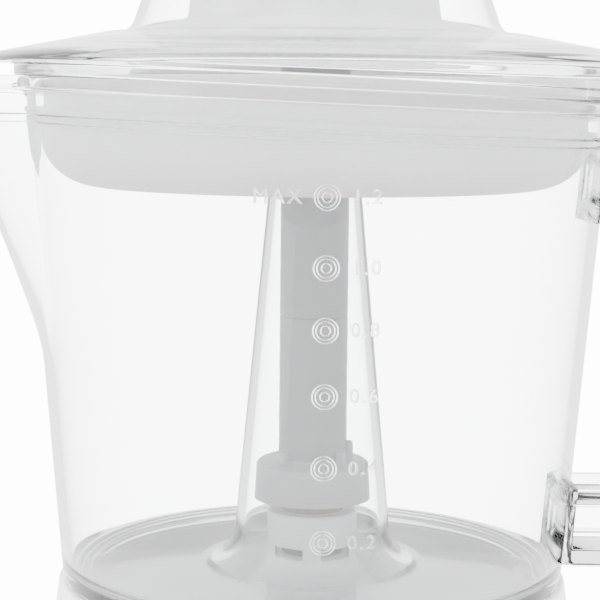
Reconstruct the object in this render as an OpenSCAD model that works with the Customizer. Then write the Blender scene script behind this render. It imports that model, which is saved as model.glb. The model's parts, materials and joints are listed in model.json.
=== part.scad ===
// Electric citrus press with a clear measuring jug.
// Z is up, the handle is towards +X, the spout towards -X and the litre scale faces -Y.
// The origin is the centre of the foot ring's lower face. All sizes are in millimetres.

/* [Base] */
// Height of the seat that the jug stands on
base_h = 85; // [78:1:100]
// Outer radius of the base at its foot
base_foot_r = 82; // [80:0.5:100]
// Wall of the base housing
base_wall = 2.6; // [2:0.1:3.2]
// Height of the rubber foot ring
foot_h = 3; // [2:0.5:5]
// Depth of the recess in the base that locates the jug
seat_recess = 6; // [5:0.5:8]
// Outer radius of the tower that carries the spindle
tower_r = 11.6; // [10.5:0.1:12]
// Height of the tower above the jug seat
tower_h = 16.8; // [13:0.1:19]

/* [Jug] */
// Outer radius of the jug at its foot
jug_foot_r = 63.7; // [62:0.1:78]
// How much wider the jug is at its rim than at its foot
jug_flare = 10; // [8:0.5:14]
// Height of the jug from its seat to the middle of its rim
jug_h = 123.5; // [102:0.1:149]
// Wall of the jug
jug_wall = 2.4; // [1.8:0.02:2.9]
// Slope of the rim, down towards the handle, in degrees
rim_tilt = 2.2; // [0:0.1:3]
// Outer radius of the chimney at its top
chimney_top_r = 11.4; // [11.2:0.1:12]
// Outer radius of the chimney above its flared foot
chimney_foot_r = 19.6; // [18:0.1:22]
// How far the spout reaches out from the jug wall
spout_reach = 24; // [18:1:30]
// How far the handle reaches out from the jug wall
handle_reach = 55; // [45:1:66]
// Width of the handle across the jug
handle_w = 22; // [18:1:27]

/* [Strainer and cone] */
// Depth of the strainer below its rim
strainer_depth = 15; // [13:0.1:18]
// Wall of the strainer
strainer_wall = 1.8; // [1.4:0.1:2.2]
// Number of drain slots in each ring
slot_count = 36; // [24:2:40]
// Radius of the reamer at the foot of its ribs
reamer_r = 32.4; // [27:0.1:35]
// Height of the reamer above its skirt
reamer_h = 51; // [42:1:54]
// Outer radius of the reamer's skirt
skirt_r = 47; // [45:0.1:48]
// Outer radius of the drive sleeve and the spindle
sleeve_r = 8.75; // [8.3:0.05:8.8]

/* [Lid] */
// How far the lid reaches out past the jug rim
lid_overhang = 8.8; // [6:0.1:12]
// Outer radius of the lid's dome at its foot
dome_r = 46.5; // [45:0.5:50]
// Height of the dome above the lid's brim
dome_h = 60.5; // [58:0.5:72]
// Wall of the lid
lid_wall = 2; // [1.6:0.1:2.5]

/* [Drive] */
// Distance that the reamer sinks to start the motor
press_travel = 2.5; // [1.5:0.1:3]
// Radius of the steel spindle shaft
shaft_r = 4; // [3.5:0.1:4.5]
// Teeth on the motor pinion
pinion_teeth = 14; // [14:1:16]
// Teeth on the large side of the idler gear
idler_teeth = 32; // [30:1:34]
// Teeth on the small side of the idler gear
idler_pinion_teeth = 16; // [15:1:17]
// Teeth on the output gear
output_teeth = 36; // [34:1:38]
// Radius of the motor can
motor_r = 25; // [22:0.5:26]
// Height of the motor can
motor_h = 22; // [18:1:24]

/* [Clearances] */
// Radial running clearance of a shaft in its bush
run_gap = 0.05; // [0.02:0.01:0.1]
// Gap between parts that lift apart
lift_gap = 0.3; // [0.2:0.05:0.5]
// Gap under a flange that rests on a sloping ledge
seat_gap = 0.05; // [0.02:0.01:0.1]
// Backlash between meshing teeth
backlash = 0.16; // [0.12:0.02:0.24]

/* [Hidden] */
$fn = 96;

// Base
seat_lip = 1.1;                              // base edge outside the jug foot
base_top_r = jug_foot_r + seat_lip;
base_flare_power = 1.2;
deck_z = base_h - seat_recess;               // floor of the recess
recess_r = jug_foot_r - jug_wall + 0.3;
housing_z = foot_h - 0.5;                    // lower edge of the housing
cover_t = 2.5;
foot_inset = 8;                              // foot ring inside the edge of the base
foot_w = 8;                                  // width of the foot ring
boss_r = 4;
boss_ring_r = 54;
screw_r = 1.5;
tower_bore_r = 8;
bush_h = 6;
head_r = 3.2;                                // head of a cover screw
tower_top_z = base_h + tower_h;
tower_cone_r = 18;
tower_cone_h = 10;
window_z = base_h + 4.6;
window_h = 3.1;
window_in = 2.3;
window_out = 9.4;
key_count = 3;
key_w = 7.4;
key_gap = 0.4;
key_r0 = 54;
key_r1 = 60;

// Jug
jug_rim_r = jug_foot_r + jug_flare;
rim_z = base_h + jug_h;
floor_t = 2.4;
floor_z = base_h + 1 + floor_t;              // upper face of the jug floor
skirt_ring_r = recess_r - 3;
skirt_ring_t = 2;
chimney_wall = 2;
chimney_top_z = rim_z - 21.5;
chimney_flare = 9.3;                         // width of the flared foot
chimney_flare_h = 11.6;
bead_h = 3;
bead_w = 1.7;
ledge_drop = 8.9;
ledge_z = rim_z - ledge_drop;
ledge_t = 1.8;
arm_h = 20;
handle_web_t = 5;
handle_flange_t = 4.4;
low_arm_z = base_h + 4;
top_arm_z = rim_z - 33;
pad_d = 2.2;                                 // how far a pad stands off the wall

// Strainer
strainer_r = jug_inner_r(ledge_z) - 1.6;
strainer_flange_t = 1.6;
strainer_floor_z = ledge_z - strainer_depth;
bowl_corner = 14;
collar_wall = 2.4;
collar_top_z = ledge_z + 1.2;
slot_w = 1.3;
slot_inner_r = 19;
slot_mid_r = 36;
slot_outer_r = 53;

// Spindle, sleeve and cone
tower_gap = 2.9;                             // tower top to the drip collar
collar_z = tower_top_z + tower_gap;
collar_h = 9.2;
collar_r = 14.9;
collar_bore_r = tower_r + 0.9;
spindle_top_z = base_h + 66.3;
tip_r = 5.2;                                 // across the corners of the drive hexagon
tip_gap = 0.15;
tip_h = 36;
washer_t = 1.5;
washer_z = collar_top_z + press_travel + 0.8;
shoulder_h = 3;
cone_z = rim_z + 6.5;                        // lower edge of the reamer skirt
skirt_h = 9;
cone_wall = 2.2;
core_share = 0.74;                           // valley radius over rib radius
rib_count = 8;
rib_t = 6.5;
sleeve_top_z = cone_z + skirt_h + 14;
cone_boss_r = sleeve_r + 2.6;

// Lid
lid_gap = 4;                                 // rim middle to the flange
flange_z = rim_z + lid_gap;
flange_r = jug_rim_r + lid_overhang;
flange_h = 4;
brim_rise = 5.8;
dome_foot_z = flange_z + flange_h + brim_rise;
plug_depth = 6.4;
plug_r = jug_inner_r(rim_z - plug_depth - 3) - lift_gap;
splash_r = plug_r - lid_wall - lift_gap - 0.2;   // wall of the strainer inside the lid's plug
splash_top_z = rim_z + 3;

// Drive train, from the table up
cover_z = foot_h;
plate_z = foot_h + 31;
plate_t = 3;
gear_gap = 3;
stage1_m = 0.8;
stage2_m = 1.25;
stage1_z = plate_z + plate_t + gear_gap;
stage1_h = 6;
stage2_z = stage1_z + stage1_h + 2;
stage2_h = 9;
lid_plate_z = stage2_z + stage2_h + 3;       // gearbox cover
idler_pin_r = 2;
motor_shaft_r = 1.5;
motor_wall = 1.2;
motor_screw_r = 1.2;
motor_screw_inset = 5;                       // motor screws inside the edge of the can
hub_r = 7.9;
hub_z = plate_z + 4.4;                       // lower end of the output hub
motor_off = 42;
centre2 = stage2_m * (idler_pinion_teeth + output_teeth) / 2;
centre1 = stage1_m * (pinion_teeth + idler_teeth) / 2;
idler_x = -(motor_off * motor_off + centre2 * centre2 - centre1 * centre1) / (2 * motor_off);
idler_y = sqrt(centre2 * centre2 - idler_x * idler_x);
idler_dir = atan2(idler_y, idler_x);
motor_dir = atan2(-idler_y, -motor_off - idler_x);
small_phase = mesh_phase(idler_dir, 0, output_teeth, idler_pinion_teeth);
pinion_phase = mesh_phase(motor_dir, 0, idler_teeth, pinion_teeth);
post_ring_r = 29.5;
post_r = 3.2;
shaft_flat = 0.8;                            // depth of each driving flat
plunger_r = 6;
plunger_h = 10;
shaft_z = plate_z - 2.1;                     // lower end of the steel shaft
spring_z = foot_h + 6;
spring_r = 4.5;
wire_r = 0.6;
spring_turns = 5;
switch_y = 20;
arm_t = 4;
button_z = shaft_z - plunger_h + 2;          // top of the switch button
button_r = 2;
grommet_z = foot_h + 13;
grommet_bore_r = 3.2;
grommet_r = 6;

function jug_r(z) = jug_foot_r + jug_flare * (z - base_h) / jug_h;
function jug_inner_r(z) = jug_r(z) - jug_wall;
function base_r(z) = base_top_r + (base_foot_r - base_top_r)
    * pow((base_h - z) / (base_h - housing_z), base_flare_power);
function arc(cx, cy, rx, ry, a0, a1, n) =
    [for (i = [0:n]) let (a = a0 + (a1 - a0) * i / n) [cx + rx * cos(a), cy + ry * sin(a)]];
function ogive(t) = pow(1 - pow(t, 1.7), 0.7);
function mesh_phase(dir, phase, n_from, n_to) =
    dir + 180 - (0.5 - (dir - phase) * n_from / 360) * 360 / n_to;
function involute(a) = tan(a) * 180 / PI - a;
function flank(r, base, half) = half - (r > base ? involute(acos(base / r)) : 0);

// Children turned about Y so that their plane slopes like the rim at height z
module sloped(z) { translate([0, 0, z]) rotate([0, rim_tilt, 0]) children(); }

// A ring with square edges
module ring(r_out, r_in, h) {
    difference() {
        cylinder(r = r_out, h = h);
        translate([0, 0, -1]) cylinder(r = r_in, h = h + 2);
    }
}

// Copies of the children at n even steps round Z
module around(n, start = 0) { for (i = [0:n - 1]) rotate([0, 0, start + 360 * i / n]) children(); }

// Spur gear with involute flanks and a flank gap for backlash
module spur(n, m, h, phase) {
    rp = m * n / 2;
    base = rp * cos(20);
    half = 90 / n - backlash / (4 * rp) * 180 / PI + involute(20);
    root = rp - 1.1 * m;
    tip = rp + 0.75 * m;
    steps = [root, max(base, root), (max(base, root) + rp) / 2, rp, (rp + tip) / 2, tip];
    last = len(steps) - 1;
    rotate([0, 0, phase]) linear_extrude(h) polygon([for (i = [0:n - 1], k = [0:2 * last + 1])
        let (j = k <= last ? k : 2 * last + 1 - k, r = steps[j],
             a = 360 * i / n + (k <= last ? -1 : 1) * flank(r, base, half))
        [r * cos(a), r * sin(a)]]);
}

// Steel shaft section with two driving flats, grown by a gap
module flatted(r, gap, h) {
    intersection() {
        cylinder(r = r + gap, h = h);
        translate([-r - 1, -r + shaft_flat - gap, -1])
            cube([2 * r + 2, 2 * (r - shaft_flat + gap), h + 2]);
    }
}

// Flaring wall of the base with its deck
module housing_wall() {
    top = deck_z - base_wall;
    difference() {
        rotate_extrude() polygon(concat([[0, housing_z]],
            [for (i = [0:14]) let (z = housing_z + (base_h - 1 - housing_z) * i / 14) [base_r(z), z]],
            [[base_top_r - 1, base_h], [0, base_h]]));
        translate([0, 0, deck_z]) cylinder(r = recess_r, h = seat_recess + 1);
        rotate_extrude() polygon(concat([[0, housing_z - 1]],
            [for (i = [0:12]) let (z = housing_z - 1 + (top - housing_z + 1) * i / 12)
                [base_r(max(z, housing_z)) - base_wall, z]], [[0, top]]));
    }
}

module base_housing() {
    top = deck_z - base_wall;
    color("whitesmoke") difference() {
        union() {
            housing_wall();
            translate([0, 0, deck_z - 0.5]) cylinder(r = tower_r, h = tower_top_z - deck_z + 0.5);
            translate([0, 0, deck_z - 0.5])
                cylinder(r1 = tower_cone_r, r2 = tower_r - 0.2, h = tower_cone_h + 0.5);
            around(key_count) translate([key_r0, -key_w / 2, deck_z - 0.5])
                cube([key_r1 - key_r0, key_w, seat_recess - 0.5]);
            around(4, 45) translate([boss_ring_r, 0, cover_z + cover_t])
                cylinder(r = boss_r, h = top + 1 - cover_z - cover_t);
            around(3) translate([post_ring_r, 0, lid_plate_z + plate_t])
                cylinder(r = post_r, h = top + 1 - lid_plate_z - plate_t);
        }
        cylinder(r = tower_bore_r, h = tower_top_z + 1);
        for (s = [-1, 1]) translate([s * (window_in + window_out) / 2, 0, window_z + window_h / 2])
            cube([window_out - window_in, 2 * tower_r + 2, window_h], center = true);
        around(4, 45) translate([boss_ring_r, 0, 0]) cylinder(r = screw_r, h = cover_z + 16);
        around(3) translate([post_ring_r, 0, 0]) cylinder(r = screw_r, h = lid_plate_z + plate_t + 8);
        translate([0, 0, grommet_z]) rotate([-90, 0, 0]) cylinder(r = grommet_r, h = base_foot_r + 5);
    }
}

module bottom_cover() {
    r = base_r(cover_z + cover_t) - base_wall - lift_gap;
    color("gainsboro") difference() {
        union() {
            translate([0, 0, cover_z]) cylinder(r = r, h = cover_t);
            translate([0, 0, cover_z]) cylinder(r = plunger_r - 0.2, h = spring_z - cover_z);
            cylinder_post();
            translate([-5.5, switch_y - 7.5, cover_z]) cube([11, 14, cover_t + 1]);
        }
        around(4, 45) translate([boss_ring_r, 0, 0]) cylinder(r = screw_r, h = 20);
        around(4, 45) translate([boss_ring_r, 0, 0]) cylinder(r = head_r + 0.2, h = cover_z + 1.4);
        for (i = [-3:3]) translate([-motor_off + 6 * i - 1.2, -14, 0]) cube([2.4, 28, 10]);
    }
}

// Post that keeps the return spring upright
module cylinder_post() { translate([0, 0, cover_z]) cylinder(r = 3, h = spring_z - cover_z + 4); }

module foot_ring() {
    color("dimgray") ring(base_foot_r - foot_inset, base_foot_r - foot_inset - foot_w, foot_h);
}

module cover_screws() {
    color("silver") around(4, 45) translate([boss_ring_r, 0, 0]) difference() {
        union() {
            translate([0, 0, cover_z - 0.4]) cylinder(r = head_r, h = 1.8);
            translate([0, 0, cover_z]) cylinder(r = screw_r, h = 15);
        }
        translate([0, 0, cover_z - 1]) for (a = [0, 90]) rotate([0, 0, a]) cube([4, 0.8, 2.4], center = true);
    }
}

module cord_grommet() {
    wall_r = base_r(grommet_z);
    module along_y() { translate([0, 0, grommet_z]) rotate([-90, 0, 0]) children(); }
    color("dimgray") difference() {
        union() {
            difference() {
                along_y() translate([0, 0, wall_r - base_wall - 4.4])
                    cylinder(r1 = grommet_r + 1.2, r2 = grommet_r + 2.4, h = base_wall + 8);
                housing_wall();
            }
            along_y() translate([0, 0, wall_r - base_wall - 4.4]) cylinder(r = grommet_r, h = base_wall + 8);
        }
        along_y() translate([0, 0, wall_r - 14]) cylinder(r = grommet_bore_r, h = 28);
    }
}

module motor_can() {
    color("silver") translate([-motor_off, 0, plate_z - motor_h]) difference() {
        cylinder(r = motor_r, h = motor_h);
        translate([0, 0, motor_wall]) cylinder(r = motor_r - motor_wall, h = motor_h - 2 * motor_wall);
        translate([0, 0, motor_h / 2]) cylinder(r = motor_shaft_r + run_gap, h = motor_h);
        for (s = [-1, 1]) translate([0, s * (motor_r - motor_screw_inset), motor_h - 2])
            cylinder(r = motor_screw_r, h = 4);
    }
}

module motor_coil() {
    color("peru") translate([-motor_off, 0, plate_z - motor_h + 2])
        ring(motor_r - 1.6, motor_r - 7.5, motor_h - 5);
}

module motor_rotor() {
    color("slategray") translate([-motor_off, 0, 0]) {
        translate([0, 0, plate_z - motor_h + 2.6]) cylinder(r = motor_r - 10, h = motor_h - 6);
        translate([0, 0, plate_z - motor_h + 2.2])
            cylinder(r = motor_shaft_r, h = stage1_z + stage1_h + 0.8 - (plate_z - motor_h + 2.2));
    }
}

module motor_pinion() {
    color("gold") translate([-motor_off, 0, stage1_z]) difference() {
        spur(pinion_teeth, stage1_m, stage1_h, pinion_phase);
        translate([0, 0, -1]) cylinder(r = motor_shaft_r, h = stage1_h + 2);
    }
}

module motor_screws() {
    color("silver") for (s = [-1, 1]) translate([-motor_off, s * (motor_r - motor_screw_inset), 0]) {
        translate([0, 0, plate_z - 1.2]) cylinder(r = motor_screw_r, h = plate_t + 1.2);
        translate([0, 0, plate_z + plate_t]) cylinder(r = 2.2, h = 1.4);
    }
}

// Outline shared by the two gearbox plates
module gearbox_outline(grow) {
    union() {
        circle(r = post_ring_r + 5 + grow);
        translate([-motor_off, 0]) circle(r = motor_r + grow);
        translate([-motor_off, -20]) square([motor_off, 40]);
    }
}

module gearbox_plate() {
    guide_bottom = spring_z + 5;
    color("white") difference() {
        union() {
            translate([0, 0, plate_z]) linear_extrude(plate_t) gearbox_outline(0);
            translate([0, 0, plate_z]) cylinder(r = hub_r + 3, h = stage2_z - 2 - plate_z);
            translate([0, 0, guide_bottom]) cylinder(r = plunger_r + 3, h = plate_z + 1 - guide_bottom);
            around(3) translate([post_ring_r, 0, plate_z])
                cylinder(r = post_r, h = lid_plate_z - plate_z);
        }
        translate([0, 0, plate_z + 4]) cylinder(r = hub_r + run_gap, h = 40);
        translate([0, 0, guide_bottom - 1]) cylinder(r = plunger_r + run_gap, h = plate_z - guide_bottom + 1);
        cylinder(r = shaft_r + 0.4, h = 80);
        translate([-arm_t / 2 - 0.4, 0, guide_bottom - 1])
            cube([arm_t + 0.8, 16, plate_z - guide_bottom - 2]);
        around(3) translate([post_ring_r, 0, 0]) cylinder(r = screw_r, h = 90);
        translate([-motor_off, 0, 0]) cylinder(r = 4, h = 90);
        for (s = [-1, 1]) translate([-motor_off, s * (motor_r - motor_screw_inset), 0])
            cylinder(r = motor_screw_r, h = 90);
        translate([idler_x, idler_y, 0]) cylinder(r = idler_pin_r, h = 90);
    }
}

module gearbox_cover() {
    color("white") difference() {
        translate([0, 0, lid_plate_z]) linear_extrude(plate_t) gearbox_outline(-1);
        cylinder(r = hub_r + run_gap, h = 90);
        around(3) translate([post_ring_r, 0, 0]) cylinder(r = screw_r, h = 90);
        translate([idler_x, idler_y, 0]) cylinder(r = idler_pin_r, h = 90);
    }
}

module gearbox_screws() {
    color("silver") around(3) translate([post_ring_r, 0, 0]) {
        translate([0, 0, plate_z - 2]) cylinder(r = 2.8, h = 2);
        translate([0, 0, plate_z]) cylinder(r = screw_r, h = lid_plate_z + plate_t + 7 - plate_z);
    }
}

module idler_pin() {
    color("silver") translate([idler_x, idler_y, plate_z])
        cylinder(r = idler_pin_r, h = lid_plate_z + plate_t - plate_z);
}

module idler_gear() {
    color("ivory") translate([idler_x, idler_y, 0]) difference() {
        union() {
            translate([0, 0, stage1_z]) spur(idler_teeth, stage1_m, stage1_h, 0);
            translate([0, 0, stage1_z + stage1_h])
                spur(idler_pinion_teeth, stage2_m, stage2_z + stage2_h - stage1_z - stage1_h, small_phase);
            translate([0, 0, stage1_z - 1]) cylinder(r = idler_pin_r + 2, h = 2);
        }
        cylinder(r = idler_pin_r + run_gap, h = 90);
    }
}

module output_gear() {
    color("ivory") difference() {
        union() {
            translate([0, 0, stage2_z]) spur(output_teeth, stage2_m, stage2_h, 0);
            translate([0, 0, hub_z]) cylinder(r = hub_r, h = lid_plate_z + plate_t + 2 - hub_z);
        }
        flatted(shaft_r, run_gap, 100);
    }
}

module upper_bush() {
    color("peru") translate([0, 0, tower_top_z - bush_h])
        ring(tower_bore_r, shaft_r + run_gap, bush_h);
}

module lower_bush() {
    color("peru") translate([0, 0, deck_z - 1]) ring(tower_bore_r, shaft_r + run_gap, bush_h);
}

// One coil of round wire, cut flat at both ends
module return_spring() {
    h = shaft_z - plunger_h - spring_z;
    pitch = h / spring_turns;
    reach = 360 * wire_r / pitch;
    function half(a) = sqrt(max(0, wire_r * wire_r - pow(pitch * a / 360, 2)));
    outer = [for (i = [0:10]) let (a = -reach + 2 * reach * i / 10)
        (spring_r + half(a) + 0.02) * [cos(a), sin(a)]];
    inner = [for (i = [10:-1:0]) let (a = -reach + 2 * reach * i / 10)
        (spring_r - half(a) - 0.02) * [cos(a), sin(a)]];
    color("silver") translate([0, 0, spring_z])
        linear_extrude(h, twist = -360 * spring_turns, slices = 14 * spring_turns, $fn = 12)
            polygon(concat(outer, inner));
}

module thrust_plunger() {
    color("black") difference() {
        union() {
            translate([0, 0, shaft_z - plunger_h]) cylinder(r = plunger_r, h = plunger_h);
            translate([-arm_t / 2, 0, button_z]) cube([arm_t, switch_y + 2, 4]);
        }
        translate([0, 0, shaft_z - plunger_h - 1]) cylinder(r = 3.4, h = plunger_h - 2);
    }
}

module switch_body() {
    color("black") difference() {
        translate([-5, switch_y - 7, cover_z + cover_t + 1])
            cube([10, 13, button_z - cover_z - cover_t - 4.2]);
        translate([0, switch_y, cover_z + cover_t + 3]) cylinder(r = button_r + 0.1, h = 30);
    }
}

module switch_button() {
    color("red") translate([0, switch_y, cover_z + cover_t + 3.2 + press_travel])
        cylinder(r = button_r, h = button_z - cover_z - cover_t - 3.2 - press_travel);
}

module spindle_shaft() {
    color("silver") union() {
        translate([0, 0, shaft_z]) flatted(shaft_r, 0, deck_z - shaft_z - 6);
        translate([0, 0, deck_z - 6]) cylinder(r = shaft_r, h = spindle_top_z - deck_z);
    }
}

module drive_spindle() {
    color("whitesmoke") difference() {
        union() {
            translate([0, 0, collar_z + 1]) cylinder(r = sleeve_r, h = spindle_top_z - collar_z - 1);
            translate([0, 0, spindle_top_z]) cylinder(r = tip_r, h = tip_h - 3, $fn = 6);
            translate([0, 0, spindle_top_z + tip_h - 3]) cylinder(r1 = tip_r, r2 = tip_r - 2, h = 3, $fn = 6);
        }
        translate([0, 0, collar_z]) cylinder(r = shaft_r, h = spindle_top_z - 6 - collar_z);
    }
}

// Bell that throws juice clear of the tower
module drip_collar() {
    color("white") difference() {
        union() {
            translate([0, 0, collar_z]) cylinder(r1 = collar_r, r2 = collar_r - 0.5, h = collar_h);
            around(4, 45) translate([0, -0.8, collar_z + collar_h - 1]) cube([sleeve_r + 2, 1.6, 3.6]);
            translate([sleeve_r - 0.5, -1.6, collar_z + collar_h - 1]) cube([2, 3.2, 6]);
        }
        translate([0, 0, collar_z - 1]) cylinder(r = collar_bore_r, h = press_travel + 1.6);
        cylinder(r = sleeve_r, h = spindle_top_z);
    }
}

// Inside of the spout when inset is the wall, outside of it when inset is 0
module spout_form(inset) {
    low_z = base_h + 0.47 * jug_h;
    hull() {
        translate([-jug_r(low_z) + 6, 0, low_z]) sphere(r = 5 - inset, $fn = 32);
        translate([-jug_rim_r - spout_reach + 7, 0, rim_z]) cylinder(r = 7 - inset, h = 8, $fn = 32);
        for (s = [-1, 1]) translate([-jug_rim_r + 16, 26 * s, rim_z - 4])
            cylinder(r = 8 - inset, h = 12, $fn = 32);
    }
}

// Everything above the sloping plane at height z
module above(z) { sloped(z) translate([-150, -150, 0]) cube([300, 300, 90]); }

module jug_space() {
    rotate_extrude() polygon(concat(
        arc(chimney_foot_r + chimney_flare, floor_z + chimney_flare_h, chimney_flare, chimney_flare_h,
            270, 180, 8),
        [[chimney_top_r, chimney_top_z], [0, chimney_top_z], [0, rim_z + 20],
         [jug_inner_r(rim_z + 20), rim_z + 20]],
        arc(jug_inner_r(floor_z + 4) - 4, floor_z + 4, 4, 4, 0, -90, 6)));
}

module chimney_bore() {
    low = floor_z - floor_t;
    rotate_extrude() polygon(concat([[0, low - 0.5],
        [chimney_foot_r - chimney_wall + chimney_flare, low - 0.5]],
        arc(chimney_foot_r - chimney_wall + chimney_flare, low + chimney_flare_h, chimney_flare,
            chimney_flare_h, 270, 180, 8),
        [[chimney_top_r - chimney_wall, chimney_top_z + 1], [0, chimney_top_z + 1]]));
}

module handle_pad(z) {
    x0 = jug_foot_r - 8;
    translate([x0, -handle_w / 2 + 1, z]) cube([pad_x(z) - x0, handle_w - 2, arm_h]);
}

function pad_x(z) = jug_r(z + arm_h) + pad_d;

module jug_body() {
    color("aliceblue") difference() {
        union() {
            difference() {
                union() {
                    rotate_extrude() polygon(concat([[0, base_h]],
                        arc(jug_r(base_h + 1.5) - 1.5, base_h + 1.5, 1.5, 1.5, -90, 0, 4),
                        [[jug_r(rim_z + 8), rim_z + 8], [0, rim_z + 8]]));
                    spout_form(0);
                    sloped(rim_z - bead_h) ring(jug_rim_r + bead_w, jug_rim_r - 1.2, bead_h);
                    handle_pad(low_arm_z);
                    handle_pad(top_arm_z);
                }
                jug_space();
            }
            sloped(ledge_z - ledge_t) ring(jug_r(ledge_z) - 1.2, strainer_r + 0.25, ledge_t);
            difference() {
                translate([0, 0, deck_z + 0.6]) ring(skirt_ring_r, skirt_ring_r - skirt_ring_t,
                    base_h + 1.2 - deck_z - 0.6);
                around(key_count) translate([key_r0 - 1, -key_w / 2 - key_gap, deck_z])
                    cube([key_r1 - key_r0 + 2, key_w + 2 * key_gap, seat_recess]);
            }
        }
        translate([0, 0, base_h - 1]) ring(jug_foot_r - jug_wall - 0.2, skirt_ring_r, 2);
        translate([0, 0, base_h - 1]) cylinder(r = skirt_ring_r - skirt_ring_t, h = 2);
        chimney_bore();
        spout_form(jug_wall);
        above(rim_z);
    }
}

// Side outline of the handle, pulled in by an inset all round
module handle_outline(inset) {
    out_x = jug_rim_r + handle_reach - inset;
    in_x = jug_rim_r + handle_reach - arm_h + inset;
    low = low_arm_z + inset;
    low_in = low_arm_z + arm_h - inset;
    top = top_arm_z + arm_h - inset;
    top_in = top_arm_z + inset;
    r = 24 - inset;
    q = 12 + inset;
    polygon(concat([[pad_x(low_arm_z) + inset, low]],
        arc(out_x - r, low + r, r, r, -90, 0, 8), arc(out_x - r, top - r, r, r, 0, 90, 8),
        [[pad_x(top_arm_z) + inset, top], [pad_x(top_arm_z) + inset, top_in]],
        arc(in_x - q, top_in - q, q, q, 90, 0, 6), arc(in_x - q, low_in + q, q, q, 0, -90, 6),
        [[pad_x(low_arm_z) + inset, low_in]]));
}

module jug_handle() {
    color("lightsteelblue") translate([0, handle_w / 2, 0]) rotate([90, 0, 0]) difference() {
        linear_extrude(handle_w) handle_outline(0);
        translate([0, 0, -1]) linear_extrude((handle_w - handle_web_t) / 2 + 1)
            handle_outline(handle_flange_t);
        translate([0, 0, (handle_w + handle_web_t) / 2]) linear_extrude(handle_w)
            handle_outline(handle_flange_t);
    }
}

// Bowl of the strainer as a solid, pulled in by an inset
module bowl(inset) {
    rotate_extrude() polygon(concat([[0, strainer_floor_z + inset]],
        arc(strainer_r - bowl_corner, strainer_floor_z + bowl_corner, bowl_corner - inset,
            bowl_corner - inset, -90, 0, 10),
        [[strainer_r - inset, ledge_z + 12], [0, ledge_z + 12]]));
}

module slots(r0, r1) {
    around(slot_count) translate([r0, -slot_w / 2, strainer_floor_z - 1]) cube([r1 - r0, slot_w, 6]);
}

module strainer() {
    step_z = chimney_top_z + 1.5;
    color("white") difference() {
        union() {
            difference() { bowl(0); bowl(strainer_wall); above(ledge_z + strainer_flange_t); }
            sloped(ledge_z + seat_gap)
                ring(jug_inner_r(ledge_z - 3) - lift_gap, strainer_r - 0.6, strainer_flange_t);
            translate([0, 0, ledge_z - 2])
                ring(splash_r, splash_r - strainer_wall, splash_top_z - ledge_z + 2);
            translate([0, 0, strainer_floor_z])
                cylinder(r = chimney_top_r + 0.8 + collar_wall, h = collar_top_z - strainer_floor_z);
        }
        translate([0, 0, strainer_floor_z - 1]) cylinder(r = chimney_top_r + 0.8,
            h = step_z - strainer_floor_z + 1);
        cylinder(r = sleeve_r + 0.8, h = collar_top_z + 1);
        slots(slot_inner_r, slot_mid_r - 1.5);
        slots(slot_mid_r + 1.5, slot_outer_r);
    }
}

module slip_washer() {
    color("gold") translate([0, 0, washer_z])
        ring(collar_wall + sleeve_r + 1.5, sleeve_r + run_gap, washer_t);
}

module drive_sleeve() {
    color("whitesmoke") difference() {
        union() {
            translate([0, 0, spindle_top_z]) cylinder(r = sleeve_r, h = sleeve_top_z - spindle_top_z);
            translate([0, 0, washer_z + washer_t]) cylinder(r = sleeve_r + 1.8, h = shoulder_h);
        }
        translate([0, 0, spindle_top_z - 1]) cylinder(r = tip_r + tip_gap, h = tip_h + 2, $fn = 6);
    }
}

// Body of the reamer between its skirt and its tip, as a share of the full width
module reamer_body(share, inset) {
    foot = cone_z + skirt_h;
    rotate_extrude() polygon(concat([[0, foot - 0.5]],
        [for (i = [0:15]) let (t = i / 16) [reamer_r * share * ogive(t) - inset, foot - 0.5 + reamer_h * t]],
        [[0, foot - 0.5 + reamer_h - inset]]));
}

function skirt_line(inset) = concat([[skirt_r - inset, cone_z - (inset > 0 ? 1 : 0)]],
    arc(reamer_r - 6, cone_z + 1.5, skirt_r - reamer_r + 6 - inset, skirt_h + 1.5 - inset, 0, 72, 7));

module reamer_cone() {
    foot = cone_z + skirt_h;
    color("white") difference() {
        union() {
            difference() {
                union() {
                    rotate_extrude() polygon(concat([[0, cone_z]], skirt_line(0), [[0, foot + 2]]));
                    reamer_body(core_share, 0);
                    intersection() {
                        reamer_body(1, 0);
                        around(rib_count / 2, 22.5) translate([-60, -rib_t / 2, foot - 1])
                            cube([120, rib_t, reamer_h + 5]);
                    }
                }
                rotate_extrude() polygon(concat([[0, cone_z - 1]], skirt_line(cone_wall), [[0, foot - 0.2]]));
                reamer_body(core_share, cone_wall);
            }
            translate([0, 0, foot - 3]) cylinder(r = cone_boss_r, h = 0.75 * reamer_h + 3);
        }
        cylinder(r = sleeve_r, h = sleeve_top_z);
        cylinder(r = sleeve_r - 2, h = foot + 0.68 * reamer_h);
    }
}

function lid_line(inset) = let (foot_z = dome_foot_z + 9, crown = dome_foot_z + dome_h - foot_z)
    concat([[flange_r - inset, flange_z - (inset > 0 ? 1 : 0)]],
        arc(flange_r - 2.5, flange_z + flange_h - 2.5, 2.5 - inset, 2.5 - inset, 0, 70, 4),
        [[dome_r + 5, dome_foot_z - inset]],
        arc(dome_r + 4, dome_foot_z + 5, 5.5 + inset, 5.5 + inset, 260, 200, 5),
        [for (i = [0:15]) let (a = 6 * i)
            [(dome_r - 3.2) * pow(cos(a), 0.75) - inset * cos(a), foot_z + crown * sin(a) - inset * sin(a)]],
        [[0, dome_foot_z + dome_h - inset]]);

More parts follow.
